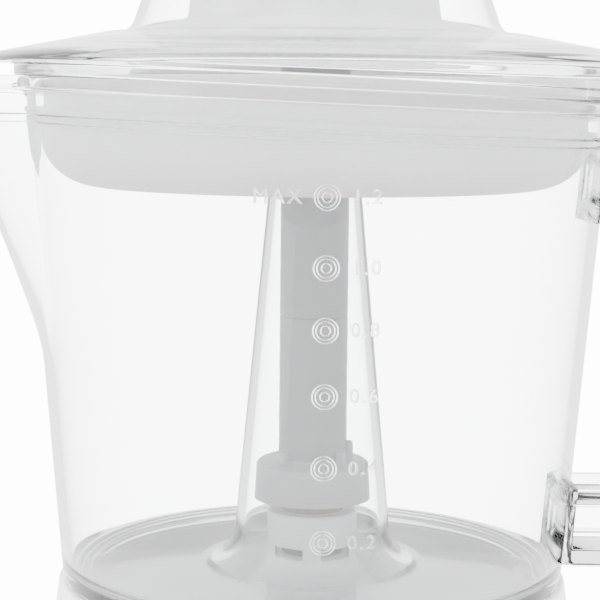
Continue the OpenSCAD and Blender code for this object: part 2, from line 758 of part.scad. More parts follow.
module lid() {
    seat_r = jug_rim_r + 1.2;
    color("aliceblue") {
        difference() {
            rotate_extrude() polygon(concat([[0, flange_z]], lid_line(0)));
            rotate_extrude() polygon(concat([[0, flange_z - 1]], lid_line(lid_wall)));
        }
        difference() {
            intersection() {
                translate([0, 0, rim_z - 10]) ring(seat_r, plug_r - lid_wall, dome_foot_z - rim_z + 10);
                rotate_extrude() polygon(concat([[0, rim_z - 12], [flange_r, rim_z - 12]], lid_line(0)));
            }
            below(rim_z, seat_r + 5, plug_r);
            below(rim_z - plug_depth, seat_r + 5, 0);
        }
    }
}

// Everything below the sloping plane at height z, between two radii
module below(z, r_out, r_in) {
    difference() {
        intersection() {
            translate([0, 0, z - 30]) cylinder(r = r_out, h = 60);
            sloped(z) translate([-150, -150, -60]) cube([300, 300, 60]);
        }
        translate([0, 0, z - 31]) cylinder(r = r_in, h = 62);
    }
}

base_housing();
bottom_cover();
foot_ring();
cover_screws();
cord_grommet();
motor_can();
motor_coil();
motor_screws();
gearbox_plate();
gearbox_cover();
gearbox_screws();
idler_pin();
upper_bush();
lower_bush();
return_spring();
switch_body();
switch_button();
thrust_plunger();
motor_rotor();
motor_pinion();
idler_gear();
output_gear();
spindle_shaft();
drive_spindle();
drip_collar();
jug_body();
jug_handle();
strainer();
slip_washer();
drive_sleeve();
reamer_cone();
lid();
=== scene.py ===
# %% [markdown]
# # Electric citrus press with a clear measuring jug
# The press is a white motor base, a clear jug with a litre scale, a milky strainer, a ribbed
# reamer on a long drive sleeve, and a clear domed lid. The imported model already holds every
# piece at its true size, so this lesson models the pieces that the eye meets again with soft
# edges, and gives every piece a procedural finish. All sizes in this file are in metres, except
# outlines, which are in millimetres because that is how such a part is drawn.

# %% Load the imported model
import json
import math
import bpy
from mathutils import Matrix, Vector

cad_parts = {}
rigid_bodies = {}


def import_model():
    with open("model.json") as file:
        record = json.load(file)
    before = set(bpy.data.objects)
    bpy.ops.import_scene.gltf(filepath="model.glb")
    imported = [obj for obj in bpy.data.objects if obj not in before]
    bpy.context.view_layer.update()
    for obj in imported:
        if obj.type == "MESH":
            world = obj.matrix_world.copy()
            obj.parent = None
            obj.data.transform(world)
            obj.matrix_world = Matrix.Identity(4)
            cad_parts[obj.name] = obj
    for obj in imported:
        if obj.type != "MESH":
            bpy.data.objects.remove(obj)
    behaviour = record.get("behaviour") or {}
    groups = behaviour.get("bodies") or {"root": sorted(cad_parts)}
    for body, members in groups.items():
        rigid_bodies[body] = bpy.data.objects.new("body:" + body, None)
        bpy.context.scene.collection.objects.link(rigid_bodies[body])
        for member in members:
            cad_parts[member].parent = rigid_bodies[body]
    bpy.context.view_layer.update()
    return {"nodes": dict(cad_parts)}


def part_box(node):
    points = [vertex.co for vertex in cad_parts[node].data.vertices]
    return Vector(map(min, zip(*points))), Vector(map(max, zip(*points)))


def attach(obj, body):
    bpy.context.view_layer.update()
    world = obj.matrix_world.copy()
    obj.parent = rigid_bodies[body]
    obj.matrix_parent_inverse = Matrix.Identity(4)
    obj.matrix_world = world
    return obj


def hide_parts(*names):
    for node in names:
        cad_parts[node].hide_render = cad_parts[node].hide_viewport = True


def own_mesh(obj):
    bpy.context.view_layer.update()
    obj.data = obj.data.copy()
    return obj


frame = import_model()
MM = 0.001

# %% [markdown]
# ## Datum heights
# Every piece has to meet its neighbours, so the heights and radii that two pieces share are set once
# here: some are read from the imported model and the rest are given as numbers. The jug wall is a
# plain cone, which a short function can give at any height.

# %% Shared sizes, in millimetres
def low(node):
    return [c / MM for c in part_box(node)[0]]


def high(node):
    return [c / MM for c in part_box(node)[1]]


TOWER_TOP = high("base_housing")[2]
SEAT = TOWER_TOP - 16.8            # where the jug stands on the base
FOOT_R = 63.7                      # outer radius of the jug at its foot
RIM = SEAT + 123.5
RIM_R = 73.7
WALL = 2.4
FLOOR = SEAT + 3.4                 # upper face of the jug floor
TILT = math.tan(math.radians(2.2))  # the rim slopes down towards the handle
LEDGE = RIM - 8.9
BOWL = low("strainer")[2]          # underside of the strainer
CHIMNEY_TOP = RIM - 21.5
SLEEVE_R = 8.75
SLEEVE_LOW = low("drive_sleeve")[2]
LID_Z = RIM + 4                    # underside of the lid's flange
LID_R = high("lid")[1]
CROWN = high("lid")[2]


def wall_r(z):
    return FOOT_R + (RIM_R - FOOT_R) * (z - SEAT) / (RIM - SEAT)


print(f"seat {SEAT:.1f} mm, rim {RIM:.1f} mm, lid crown {CROWN:.1f} mm")

# %% [markdown]
# ## Camera
# The view is level and close, on the jug from the front, with a long lens, so that the rim
# and the floor of the jug show as flat ellipses. The camera looks down by a few degrees and rolls
# by less than one degree. A long lens is a large distance and a narrow angle of view.

# %% Camera
CAMERA_DISTANCE = 0.440
CAMERA_LEFT = 0.0036
LENS = 104.4
CAMERA_HEIGHT = (RIM - 1.6) * MM
PITCH = math.radians(6.7)
ROLL = math.radians(0.5)
camera_data = bpy.data.cameras.new("camera")
camera_data.lens = LENS
camera_data.clip_start = 0.01
camera = bpy.data.objects.new("camera", camera_data)
bpy.context.scene.collection.objects.link(camera)
turn = Matrix.Rotation(math.radians(90) - PITCH, 4, "X") @ Matrix.Rotation(ROLL, 4, "Z")
place = Matrix.Translation((-CAMERA_LEFT, -CAMERA_DISTANCE, CAMERA_HEIGHT))
camera.matrix_world = place @ turn
bpy.context.scene.camera = camera
print("camera at", tuple(round(c, 3) for c in camera.location))

# %% [markdown]
# ## Light and floor
# Clear plastic only shows where it bends something darker than its surroundings. The backdrop and
# the floor are white and far brighter than the press, so that the walls of the jug stay clean,
# and light that was thrown back inside an edge comes from the dark side of the room, which draws
# the rims as fine dark lines. Light Path tells the three apart: straight through the plastic is
# the bright backdrop, thrown back inside it is the dark side, and the rest is what lights the
# press, so the white pieces inside keep their shading.

# %% Seen straight through, or not
BACKDROP = 14.0  # brightness of what is seen behind the press
ROOM = 5.0       # brightness of what lights it
DARK_SIDE = 0.22  # share of the backdrop that is met after being thrown back inside an edge


def straight_through(tree):
    ray = tree.nodes.new("ShaderNodeLightPath")
    clear_path = tree.nodes.new("ShaderNodeMath")
    clear_path.operation = "MAXIMUM"
    first = tree.nodes.new("ShaderNodeMath")
    first.operation = "LESS_THAN"
    first.inputs[1].default_value = 0.5
    both = tree.nodes.new("ShaderNodeMath")
    both.operation = "MULTIPLY"
    tree.links.new(ray.outputs["Is Camera Ray"], clear_path.inputs[0])
    tree.links.new(ray.outputs["Is Transmission Ray"], clear_path.inputs[1])
    tree.links.new(ray.outputs["Diffuse Depth"], first.inputs[0])
    tree.links.new(clear_path.outputs[0], both.inputs[0])
    tree.links.new(first.outputs[0], both.inputs[1])
    once = ramp_node(tree, ray.outputs["Glossy Depth"], 0.0, 1.0, 1.0, DARK_SIDE)
    return both.outputs[0], once


def ramp_node(tree, source, from_low, from_high, to_low, to_high):
    node = tree.nodes.new("ShaderNodeMapRange")
    for label, value in (("From Min", from_low), ("From Max", from_high),
                         ("To Min", to_low), ("To Max", to_high)):
        node.inputs[label].default_value = value
    tree.links.new(source, node.inputs["Value"])
    return node.outputs[0]


# %% The room
world = bpy.data.worlds.new("white room")
bpy.context.scene.world = world
world.use_nodes = True
room = world.node_tree
softer = room.nodes["Background"]
softer.inputs["Strength"].default_value = ROOM
backdrop = room.nodes.new("ShaderNodeBackground")
backdrop.inputs["Strength"].default_value = BACKDROP
mask, thrown_back = straight_through(room)
choice = room.nodes.new("ShaderNodeMixShader")
room.links.new(mask, choice.inputs[0])
room.links.new(softer.outputs[0], choice.inputs[1])
room.links.new(backdrop.outputs[0], choice.inputs[2])
room.links.new(choice.outputs[0], room.nodes["World Output"].inputs["Surface"])
way = room.nodes.new("ShaderNodeTexCoord")
split = room.nodes.new("ShaderNodeSeparateXYZ")
room.links.new(way.outputs["Generated"], split.inputs[0])
room.links.new(ramp_node(room, split.outputs["Z"], -0.25, 0.5, 0.75, 1.0), softer.inputs["Color"])
room.links.new(thrown_back, backdrop.inputs["Color"])


# %% Lamps and floor
def soft_lamp(name, place, aim, size, power):
    bpy.ops.object.light_add(type="AREA", location=place)
    lamp = bpy.context.object
    lamp.name = name
    lamp.data.shape = "RECTANGLE"
    lamp.data.size, lamp.data.size_y = size
    lamp.data.energy = power
    lamp.rotation_euler = (Vector(aim) - Vector(place)).to_track_quat("-Z", "Y").to_euler()
    print(f"lamp {name}: {power} W")


soft_lamp("overhead", (0, -0.1, 0.95), (0, 0, 0.15), (0.9, 0.9), 5)
soft_lamp("left", (-0.8, -0.5, 0.5), (0, 0, 0.15), (0.5, 0.8), 3)
bpy.ops.mesh.primitive_plane_add(size=6, location=(0, 0, 0))
floor = bpy.context.object
floor.name = "studio_floor"
paper = bpy.data.materials.new("white_paper")
paper.use_nodes = True
sheet = paper.node_tree
sheet.nodes["Principled BSDF"].inputs["Base Color"].default_value = (0.8, 0.8, 0.8, 1)
sheet.nodes["Principled BSDF"].inputs["Roughness"].default_value = 0.9
glow = sheet.nodes.new("ShaderNodeEmission")
glow.inputs["Strength"].default_value = BACKDROP
lit = sheet.nodes.new("ShaderNodeMixShader")
mask, thrown_back = straight_through(sheet)
sheet.links.new(thrown_back, glow.inputs["Color"])
sheet.links.new(mask, lit.inputs[0])
sheet.links.new(sheet.nodes["Principled BSDF"].outputs[0], lit.inputs[1])
sheet.links.new(glow.outputs[0], lit.inputs[2])
sheet.links.new(lit.outputs[0], sheet.nodes["Material Output"].inputs["Surface"])
floor.data.materials.append(paper)

# %% [markdown]
# ## Outlines and the lathe
# Most pieces of a press are round, so they begin as an outline that is turned about the Z axis.
# The outline could be drawn as a curve with a Screw modifier, but a vertex that is extruded from
# point to point and then spun shows what happens at each corner. A third number at a point rounds
# that corner, as a moulding tool would, so that its edge catches light.

# %% Outline helpers
def arc(cx, cz, rx, rz, start, end, count):
    angles = [math.radians(start + (end - start) * i / count) for i in range(count + 1)]
    return [(cx + rx * math.cos(a), cz + rz * math.sin(a)) for a in angles]


def rounded(outline, closed):
    points = []
    for i, point in enumerate(outline):
        at_end = not closed and i in (0, len(outline) - 1)
        if len(point) == 2 or at_end:
            points.append(Vector(point[:2]))
            continue
        here = Vector(point[:2])
        back = Vector(outline[i - 1][:2]) - here
        ahead = Vector(outline[(i + 1) % len(outline)][:2]) - here
        reach = min(point[2], 0.48 * back.length, 0.48 * ahead.length)
        start, end = here + back.normalized() * reach, here + ahead.normalized() * reach
        for step in range(5):
            t = step / 4
            points.append(start * (1 - t) ** 2 + here * 2 * t * (1 - t) + end * t ** 2)
    return points


# %% Edit-mode helpers
def edit(piece, select="DESELECT"):
    bpy.ops.object.select_all(action="DESELECT")
    piece.select_set(True)
    bpy.context.view_layer.objects.active = piece
    bpy.ops.object.mode_set(mode="EDIT")
    bpy.ops.mesh.select_mode(type="VERT")
    bpy.ops.mesh.select_all(action=select)


def leave_edit():
    bpy.ops.object.mode_set(mode="OBJECT")


def clean(piece, gap=0.00001):
    edit(piece, "SELECT")
    bpy.ops.mesh.remove_doubles(threshold=gap)
    bpy.ops.mesh.normals_make_consistent(inside=False)
    leave_edit()


def settle(piece, angle=35):
    bpy.ops.object.select_all(action="DESELECT")
    piece.select_set(True)
    bpy.context.view_layer.objects.active = piece
    bpy.ops.object.transform_apply(location=True, rotation=True, scale=True)
    bpy.ops.object.shade_smooth_by_angle(angle=math.radians(angle))
    return piece


def draw_outline(name, points, closed=False):
    x, z = points[0][0] * MM, points[0][1] * MM
    bpy.ops.object.select_all(action="DESELECT")
    bpy.ops.mesh.primitive_plane_add(size=0.001, location=(x, 0, z))
    piece = bpy.context.object
    piece.name = name
    edit(piece, "SELECT")
    bpy.ops.mesh.merge(type="CENTER")
    course = list(points) + ([points[0]] if closed else [])
    for a, b in zip(course, course[1:]):
        move = ((b[0] - a[0]) * MM, 0, (b[1] - a[1]) * MM)
        bpy.ops.mesh.extrude_vertices_move(TRANSFORM_OT_translate={"value": move})
    if closed:
        bpy.ops.mesh.select_all(action="SELECT")
        bpy.ops.mesh.remove_doubles(threshold=0.000001)
    return piece


def lathe(name, outline, closed=True, steps=144, angle=35):
    piece = draw_outline(name, rounded(outline, closed), closed)
    bpy.ops.mesh.select_all(action="SELECT")
    bpy.ops.mesh.spin(steps=steps, angle=math.tau, center=(0, 0, 0), axis=(0, 0, 1))
    leave_edit()
    clean(piece)
    settle(piece, angle)
    print(f"{name}: {len(piece.data.polygons)} faces")
    return piece


def move_points(piece, rule):
    for vertex in piece.data.vertices:
        vertex.co = rule(vertex.co / MM) * MM
    piece.data.update()


# %% [markdown]
# ## The jug
# The jug is one clear moulding: a flaring wall, a floor, a chimney that keeps the juice away from
# the spindle, a ledge for the strainer, a bead round the rim, and under the floor a ring that
# finds its place in the base. All of that is one closed outline, turned once. The rim then slopes
# down towards the handle, and the spout is pushed out of the wall as a V that starts halfway up.
# Both are smooth rules of height and angle, so they are worked as moves of the points, which
# keeps the wall one clean skin without the seam that a separate spout would leave.

# %% Jug wall, floor and chimney
def wall_stretch(z0, z1, offset, count):
    return [(wall_r(z) + offset, z) for z in [z0 + (z1 - z0) * i / count for i in range(count + 1)]]


SPOUT_LOW = SEAT + 0.455 * (RIM - SEAT)
SPOUT_REACH = 23.0
SPOUT_HALF_ANGLE = math.radians(24)
CHIMNEY_FOOT_R = 19.6
CHIMNEY_TOP_R = 11.4
FLARE_H = 11.6
FLARE_W = 9.3
jug_outline = (
    [(FOOT_R - 0.4, SEAT, 0.8)] + wall_stretch(SEAT + 2.6, SPOUT_LOW - 4, 0, 6)
    + wall_stretch(SPOUT_LOW, RIM - 4.4, 0, 22)
    + [(wall_r(RIM - 3.2) + 0.1, RIM - 3.2, 0.5), (RIM_R + 1.6, RIM - 3.0, 0.6), (RIM_R + 1.6, RIM, 0.8),
       (RIM_R - WALL, RIM, 0.6)]
    + wall_stretch(RIM - 1.6, LEDGE + 0.9, -WALL, 3)
    + [(wall_r(LEDGE) - WALL, LEDGE, 0.3), (wall_r(LEDGE) - WALL - 1.35, LEDGE, 0.3),
       (wall_r(LEDGE) - WALL - 1.35, LEDGE - 1.8, 0.3), (wall_r(LEDGE - 1.8) - WALL, LEDGE - 1.8, 0.3)]
    + wall_stretch(LEDGE - 3, SPOUT_LOW, -WALL, 18) + wall_stretch(SPOUT_LOW - 4, FLOOR + 4.5, -WALL, 6)
    + arc(wall_r(FLOOR + 4) - WALL - 4, FLOOR + 4, 4, 4, 0, -90, 8)
    + arc(CHIMNEY_FOOT_R + FLARE_W, FLOOR + FLARE_H, FLARE_W, FLARE_H, 270, 180, 12)
    + [(CHIMNEY_TOP_R, CHIMNEY_TOP, 0.8), (CHIMNEY_TOP_R - 1.9, CHIMNEY_TOP, 0.6)]
    + arc(CHIMNEY_FOOT_R - 2 + FLARE_W, FLOOR - 2.4 + FLARE_H, FLARE_W, FLARE_H, 180, 266, 10)
    + [(57.1, SEAT + 1, 0.5), (57.1, SEAT - 5.2, 0.5), (58.2, SEAT - 5.2, 0.5), (58.4, SEAT + 1, 0.5),
       (FOOT_R - 2.4, SEAT + 1, 0.6), (FOOT_R - 2.2, SEAT, 0.4)])
jug = lathe("jug", jug_outline, steps=192)


# %% Rim slope and spout
def ramp(value, start, end):
    t = min(1, max(0, (value - start) / (end - start)))
    return t * t * (3 - 2 * t)


def slope_rim(p):
    p.z -= p.x * TILT * ramp(p.z, LEDGE - 26, LEDGE - 3)
    return p


def push_spout(p):
    radius = math.hypot(p.x, p.y)
    if radius < 40 or p.z < SPOUT_LOW:
        return p
    away = abs(math.atan2(p.y, -p.x)) / SPOUT_HALF_ANGLE
    rise = (p.z - SPOUT_LOW) / (RIM - SPOUT_LOW)
    rise = rise + 0.04 * (math.exp(-rise / 0.04) - 1)
    ridge = math.sqrt((1 - away) ** 2 + 0.004) if away < 1 else 0.063
    nose = (ridge - 0.063 - 0.05 * ramp(away, 0.2, 0) * away) / 0.94
    nose = max(0, nose) * ramp(away, 1.05, 0.82) if away > 0.8 else nose
    nose -= 0.07 * math.exp(-(away / 0.09) ** 2)
    grow = 1 + SPOUT_REACH * rise * nose / radius
    p.x, p.y = p.x * grow, p.y * grow
    return p


move_points(jug, slope_rim)
move_points(jug, push_spout)
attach(jug, "jug")
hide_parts("jug_body")
print("spout tip reaches", round(min(v.co.x for v in jug.data.vertices) / MM, 1), "mm")

# %% [markdown]
# Each arm of the handle stands on a pad that swells from the wall. A pad is a block whose inner
# face follows the wall, joined to the jug by a Boolean so that no wall is left between them.

# %% Handle pads
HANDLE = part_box("jug_handle")
ARM_H = 20.0
PAD = 1.3
PAD_W = 20
low_z, high_z = HANDLE[0][2] / MM, HANDLE[1][2] / MM


def handle_pad(z_low):
    bpy.ops.object.select_all(action="DESELECT")
    bpy.ops.mesh.primitive_cube_add(size=1, location=(0.5, 0, 0.5))
    pad = bpy.context.object
    bpy.ops.object.transform_apply()
    edit(pad, "SELECT")
    bpy.ops.mesh.subdivide(number_cuts=9)
    leave_edit()
    for vertex in pad.data.vertices:
        out, side, up = vertex.co
        z, y = z_low + 0.4 + (ARM_H - 0.8) * up, PAD_W * side
        inner = math.sqrt((wall_r(z) - 1.2) ** 2 - y * y)
        vertex.co = Vector((inner + (wall_r(z) + PAD - inner) * out, y, z)) * MM
    return pad


for start in (low_z, high_z - ARM_H):
    union = jug.modifiers.new("pad", "BOOLEAN")
    union.operation = "UNION"
    union.solver = "EXACT"
    union.object = handle_pad(start)
    bpy.context.view_layer.objects.active = jug
    bpy.ops.object.modifier_apply(modifier=union.name)
for left_over in [o for o in bpy.data.objects if o.name.startswith("Cube")]:
    bpy.data.objects.remove(left_over)
settle(jug, 35)
print("jug with its two pads:", len(jug.data.polygons), "faces")

# %% [markdown]
# ## The handle
# The handle is a separate clear moulding with an I section: two flanges carry the load and a thin
# web joins them. It could be cut from a block, but a section that is extruded along the arm and
# spun round each corner keeps the section true all the way, as the mould does.

# %% Handle
def i_section(name, x, z_low, z_high, width, flange, web):
    half, thin, mid = width / 2, web / 2, (z_low + z_high) / 2
    corners = [(-half, z_low), (half, z_low), (half, z_low + flange), (thin, z_low + flange + 1.5),
               (thin, z_high - flange - 1.5), (half, z_high - flange), (half, z_high), (-half, z_high),
               (-half, z_high - flange), (-thin, z_high - flange - 1.5), (-thin, z_low + flange + 1.5),
               (-half, z_low + flange)]
    bpy.ops.object.select_all(action="DESELECT")
    bpy.ops.mesh.primitive_plane_add(size=0.001, location=(x * MM, corners[0][0] * MM, corners[0][1] * MM))
    piece = bpy.context.object
    piece.name = name
    edit(piece, "SELECT")
    bpy.ops.mesh.merge(type="CENTER")
    for a, b in zip(corners, corners[1:]):
        move = (0, (b[0] - a[0]) * MM, (b[1] - a[1]) * MM)
        bpy.ops.mesh.extrude_vertices_move(TRANSFORM_OT_translate={"value": move})
    bpy.ops.mesh.select_all(action="SELECT")
    bpy.ops.mesh.edge_face_add()
    print(f"{name}: section {width} x {z_high - z_low:.0f} mm, middle at {mid:.0f} mm")
    return piece


def push(x, y, z):
    bpy.ops.mesh.extrude_region_move(TRANSFORM_OT_translate={"value": (x * MM, y * MM, z * MM)})


def corner_spin(x, z, turn, steps=12):
    bpy.ops.mesh.spin(steps=steps, angle=turn, center=(x * MM, 0, z * MM), axis=(0, 1, 0))


out_x = HANDLE[1][0] / MM
HANDLE_W, FLANGE, WEB = 22, 4.4, 5
bend_r = 24
bend_x = out_x - bend_r
arm_x = wall_r(low_z) + PAD + 0.1
handle = i_section("handle", arm_x, low_z, low_z + ARM_H, HANDLE_W, FLANGE, WEB)
push(bend_x - arm_x, 0, 0)
corner_spin(bend_x, low_z + bend_r, math.pi / 2)
push(0, 0, high_z - low_z - 2 * bend_r)
corner_spin(bend_x, high_z - bend_r, math.pi / 2)
top_x = wall_r(high_z - ARM_H) + PAD + 0.1
push(top_x - bend_x, 0, 0)
leave_edit()


def follow_wall(p):
    lower_end = abs(p.x - arm_x) < 0.5 and p.z < low_z + ARM_H + 1
    upper_end = abs(p.x - top_x) < 0.5 and p.z > high_z - ARM_H - 1
    if lower_end or upper_end:
        p.x = wall_r(p.z) + PAD + 0.1
    return p


move_points(handle, follow_wall)
clean(handle)
bevel = handle.modifiers.new("soft edges", "BEVEL")
bevel.width = 0.0009
bevel.segments = 3
bevel.limit_method = "ANGLE"
bevel.angle_limit = math.radians(35)
bpy.context.view_layer.objects.active = handle
bpy.ops.object.modifier_apply(modifier=bevel.name)
settle(handle, 40)
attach(handle, "jug")
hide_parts("jug_handle")
print("handle spans x", [round(v, 1) for v in (arm_x, out_x)])

# %% [markdown]
# ## The litre scale
# The scale is moulded into the front wall: at each mark three rings, a number beside them, and MAX
# at the top. The jug widens upwards, so equal volumes take less height and the marks close up
# towards the rim, apart from the last one at the limit line. Raised letters could be a bump in the
# material, but real ridges catch light at their edges, so they are modelled.

# %% Where each mark lies
MARKS = {text: SEAT + height for text, height in
         (("0.2", 24.0), ("0.4", 41.0), ("0.6", 57.1), ("0.8", 71.7), ("1.0", 85.3), ("1.2", 100.5))}
for (lower, a), (upper, b) in zip(list(MARKS.items()), list(MARKS.items())[1:]):
    inner = wall_r((a + b) / 2) - WALL
    litres = math.pi * inner ** 2 * (b - a) / 1e6
    print(f"{lower} to {upper}: {b - a:.1f} mm, {litres:.2f} l with the chimney")

# %% [markdown]
# A flat drawing of the marks is wrapped round the jug wall: across the drawing becomes round the
# wall, and up the drawing becomes up the slope.

# %% Wrap a flat mark onto the wall
SCALE_TURN = math.radians(1.6)


def wrap_on_wall(piece, height):
    for vertex in piece.data.vertices:
        x, y, z = (c / MM for c in vertex.co)
        at = height + y
        radius = wall_r(at) + z - 0.05
        angle = x / wall_r(at) + SCALE_TURN
        vertex.co = Vector((radius * math.sin(angle), -radius * math.cos(angle), at)) * MM
    piece.data.update()


def ring_mark(name, radius, width, height):
    bpy.ops.object.select_all(action="DESELECT")
    bpy.ops.mesh.primitive_torus_add(major_radius=radius * MM, minor_radius=width / 2 * MM,
                                     major_segments=40, minor_segments=10, location=(0, 0, 0))
    mark = bpy.context.object
    mark.name = name
    wrap_on_wall(mark, height)
    return mark


def text_mark(name, text, x, size, height):
    bpy.ops.object.select_all(action="DESELECT")
    bpy.ops.object.text_add(location=(0, 0, 0))
    mark = bpy.context.object
    mark.data.body = text
    mark.data.size = size * MM
    mark.data.extrude = 0.22 * MM
    mark.data.bevel_depth = 0.06 * MM
    mark.data.space_character = 1.25
    mark.data.align_y = "CENTER"
    mark.data.resolution_u = 4
    bpy.ops.object.convert(target="MESH")
    mark = bpy.context.object
    mark.name = name
    clean(mark, 0.000004)
    for vertex in mark.data.vertices:
        vertex.co.x += x * MM
    wrap_on_wall(mark, height)
    return mark


# %% Rings, numbers and MAX
scale_parts = []
for text, height in MARKS.items():
    for radius, width in ((2.75, 0.34), (2.05, 0.3), (1.05, 0.3)):
        scale_parts.append(ring_mark("ring", radius, width, height))
    scale_parts.append(text_mark("number", text, 5.4, 4.4, height))
scale_parts.append(text_mark("limit", "MAX", -16.0, 4.4, MARKS["1.2"]))
bpy.ops.object.select_all(action="DESELECT")
for part in scale_parts:
    part.select_set(True)
bpy.context.view_layer.objects.active = scale_parts[0]
bpy.ops.object.join()
scale = bpy.context.object
scale.name = "litre_scale"
settle(scale, 50)
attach(scale, "jug")
print("litre scale:", len(scale.data.polygons), "faces")

# %% [markdown]
# ## The lid
# The lid is one clear moulding: a low dome over the reamer, a sloping brim with a turned-down edge,
# and under it a wedge-shaped skirt. The flange is level but the jug rim slopes, so the skirt is
# tall on the handle side and almost nothing at the spout. The outline is drawn as if the rim were
# level, and the lower part is then sloped with the same rule as the rim.

# %% Lid
DOME_FOOT = LID_Z + 9.8
DOME_R = 46.5
SKIRT_R = RIM_R + 1.2
PLUG_R = wall_r(RIM - 9.4) - WALL - 0.3


def dome(inset, turns):
    base, crown = DOME_FOOT + 9, CROWN - DOME_FOOT - 9
    return [((DOME_R - 3.2) * math.cos(a) ** 0.75 - inset * math.cos(a),
             base + crown * math.sin(a) - inset * math.sin(a)) for a in turns]


up = [math.radians(90 * i / 26) for i in range(27)]
up[-1] = math.radians(90)
dome_outside = [(0, CROWN)] + dome(0, up[-2::-1])
dome_inside = dome(2, up[:-1]) + [(0, CROWN - 2)]
lid_outline = (
    dome_outside + arc(DOME_R + 4, DOME_FOOT + 5, 5.5, 5.5, 196, 258, 8)
    + [(DOME_R + 6.5, DOME_FOOT - 0.3), (LID_R - 14, LID_Z + 6.5), (LID_R - 2, LID_Z + 4.1, 2.0),
       (LID_R, LID_Z + 2.8, 0.8), (LID_R, LID_Z, 0.7), (LID_R - 1.9, LID_Z, 0.7), (LID_R - 2, LID_Z + 2, 0.8),
       (SKIRT_R + 0.6, LID_Z + 3.2, 0.6), (SKIRT_R + 0.6, RIM + 2.9, 0.2), (SKIRT_R, RIM + 2.6, 0.2),
       (SKIRT_R, RIM + 0.05, 0.5), (PLUG_R, RIM + 0.05, 0.2), (PLUG_R - 0.1, RIM - 2.8, 0.7),
       (PLUG_R - 1.9, RIM - 2.8, 0.7), (PLUG_R - 2, LID_Z + 4.4, 0.8), (DOME_R + 6, DOME_FOOT - 2.2)]
    + arc(DOME_R + 4, DOME_FOOT + 5, 7.5, 7.5, 258, 200, 8) + dome_inside)
lid = lathe("lid_clear", lid_outline, closed=False, steps=168)


def slope_skirt(p):
    p.z -= p.x * TILT * (1 - ramp(p.z, RIM + 2.9, RIM + 6.4)) if p.z < RIM + 6.4 else 0
    return p


move_points(lid, slope_skirt)
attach(lid, "lid")
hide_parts("lid")

# %% [markdown]
# ## The strainer
# The strainer is a shallow bowl in milky plastic with a collar that drops over the chimney. Two
# rings of narrow slots let the juice through, and a low wall on the ledge stops splashes. The bowl
# is turned, level at the top of that wall but sloped at its ledge, and the slots are cut with one
# Boolean, because all of the cutters can be copies of a single bar.

# %% Strainer bowl
STRAINER_R = wall_r(LEDGE) - WALL - 1.6
FLANGE_R = wall_r(LEDGE - 3) - WALL - 0.3
COLLAR_TOP = LEDGE + 1.2
SPLASH_R = PLUG_R - 2.5
SPLASH_TOP = high("strainer")[2]
bowl_outline = (
    [(FLANGE_R, LEDGE + 0.05, 0.3), (FLANGE_R, LEDGE + 1.65, 0.5), (SPLASH_R, LEDGE + 1.65, 0.5),
     (SPLASH_R, SPLASH_TOP, 0.6), (SPLASH_R - 1.8, SPLASH_TOP, 0.6), (SPLASH_R - 1.8, LEDGE, 0.5),
     (STRAINER_R - 1.8, LEDGE - 2.5, 0.5)]
    + arc(STRAINER_R - 14, BOWL + 14, 12.2, 12.2, 0, -90, 12)
    + [(15.5, BOWL + 1.8, 1.5), (14.2, COLLAR_TOP, 0.6), (9.6, COLLAR_TOP, 0.5),
       (9.6, CHIMNEY_TOP + 1.5, 0.3), (12.2, CHIMNEY_TOP + 1.5, 0.3), (12.2, BOWL, 0.5)]
    + arc(STRAINER_R - 14, BOWL + 14, 14, 14, -90, 0, 12) + [(STRAINER_R, LEDGE + 0.05, 0.2)])
strainer = lathe("strainer_bowl", bowl_outline, steps=160)


def slope_bowl(p):
    p.z -= p.x * TILT * ramp(p.z, BOWL + 8, LEDGE - 1) * (1 - ramp(p.z, LEDGE + 2, SPLASH_TOP - 1))
    return p


move_points(strainer, slope_bowl)

# %% Slots
SLOTS = 36
bpy.ops.object.select_all(action="DESELECT")
bars = []
for inner, outer in ((19.5, 34.0), (38.0, 52.5)):
    for i in range(SLOTS):
        angle = math.tau * i / SLOTS
        middle = (inner + outer) / 2 * MM
        bpy.ops.mesh.primitive_cube_add(size=1, rotation=(0, 0, angle), location=(
            middle * math.cos(angle), middle * math.sin(angle), (BOWL + 1) * MM),
            scale=((outer - inner) * MM, 1.3 * MM, 6 * MM))
        bars.append(bpy.context.object)


def join(pieces, name):
    bpy.ops.object.select_all(action="DESELECT")
    for one in pieces:
        one.select_set(True)
    bpy.context.view_layer.objects.active = pieces[0]
    bpy.ops.object.join()
    whole = bpy.context.object
    whole.name = name
    return whole


def cut(piece, cutter):
    step = piece.modifiers.new("cut", "BOOLEAN")
    step.operation = "DIFFERENCE"
    step.solver = "EXACT"
    step.object = cutter
    bpy.ops.object.select_all(action="DESELECT")
    bpy.context.view_layer.objects.active = piece
    bpy.ops.object.modifier_apply(modifier=step.name)
    bpy.data.objects.remove(cutter)
    clean(piece)


cut(strainer, join(bars, "slot_bars"))
settle(strainer, 30)
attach(strainer, "strainer")
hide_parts("strainer")
print("strainer:", len(strainer.data.polygons), "faces with", 2 * SLOTS, "slots")

# %% [markdown]
# ## The reamer
# A reamer has rounded ribs that run down from a blunt tip and spread into a skirt, which throws the
# juice outwards. The outline is the crest of a rib. After turning it, the outside is pressed in
# between the ribs with a cosine of the angle, which gives round crests and soft valleys.

# %% Reamer
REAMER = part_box("reamer_cone")
REAM_LOW = REAMER[0][2] / MM
REAM_TIP = REAMER[1][2] / MM
REAM_R = 32.4
SKIRT_OUT = REAMER[1][0] / MM
REAM_FOOT = REAM_LOW + 9
RIBS = 8


def ogive(t):
    return (1 - t ** 1.7) ** 0.7 if t < 1 else 0


